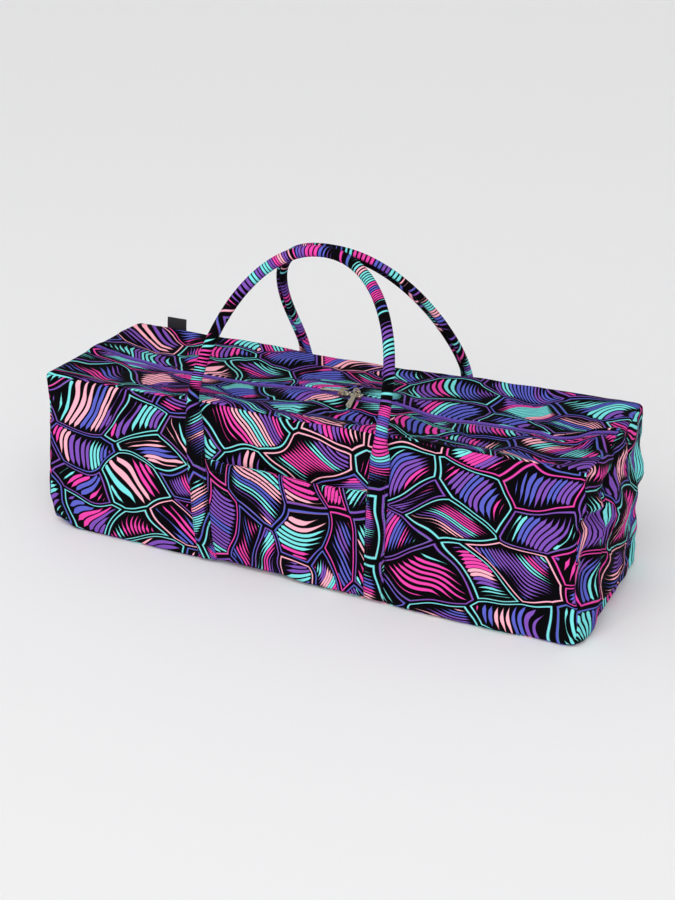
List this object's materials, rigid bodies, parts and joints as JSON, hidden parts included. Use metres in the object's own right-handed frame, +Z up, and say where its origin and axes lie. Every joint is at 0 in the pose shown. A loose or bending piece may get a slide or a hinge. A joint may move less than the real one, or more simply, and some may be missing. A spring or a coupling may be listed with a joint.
{
  "type": "yoga kit bag",
  "caption": "Soft zipped canvas holdall for a rolled mat and its kit, with rolled tube handles, a patch pocket between the straps and a full-length top zip.",
  "frame": {"origin": "on the base, under the middle of the bag, in the plane it rests on", "axes": "+X along the bag to its right end, -Y out of the front with the pocket, +Z up"},
  "size_m": [0.6736, 0.2394, 0.361],
  "materials": {
    "printed_canvas": "matt printed cotton canvas, purple, blue, turquoise and pink on black",
    "zip_nylon": "woven purple zip tape and nylon coil",
    "nickel": "polished pale nickel plate",
    "black_tape": "plain black woven tape"
  },
  "bodies": {
    "bag": {"front_panel": "printed_canvas", "back_panel": "printed_canvas", "left_end_panel": "printed_canvas", "right_end_panel": "printed_canvas", "base_panel": "printed_canvas", "top_front_panel": "printed_canvas", "top_back_panel": "printed_canvas", "front_pocket": "printed_canvas", "front_handle": "printed_canvas", "back_handle": "printed_canvas", "zip_tape_front": "zip_nylon", "zip_tape_back": "zip_nylon", "zip_coil": "zip_nylon", "zip_slider_left": "nickel", "zip_slider_right": "nickel", "label_tab": "black_tape"},
    "left_pull": {"zip_pull_left": "nickel"},
    "right_pull": {"zip_pull_right": "nickel"}
  },
  "joints": [
    {"name": "left_pull_swing", "type": "hinge", "parent": "bag", "child": "left_pull", "pos_m": [0.008, 0, 0.19111], "axis": [0, 1, 0], "range_deg": [0, 100]},
    {"name": "right_pull_swing", "type": "hinge", "parent": "bag", "child": "right_pull", "pos_m": [0.023, 0, 0.19406], "axis": [-1, 0, 0], "range_deg": [0, 190]}
  ]
}
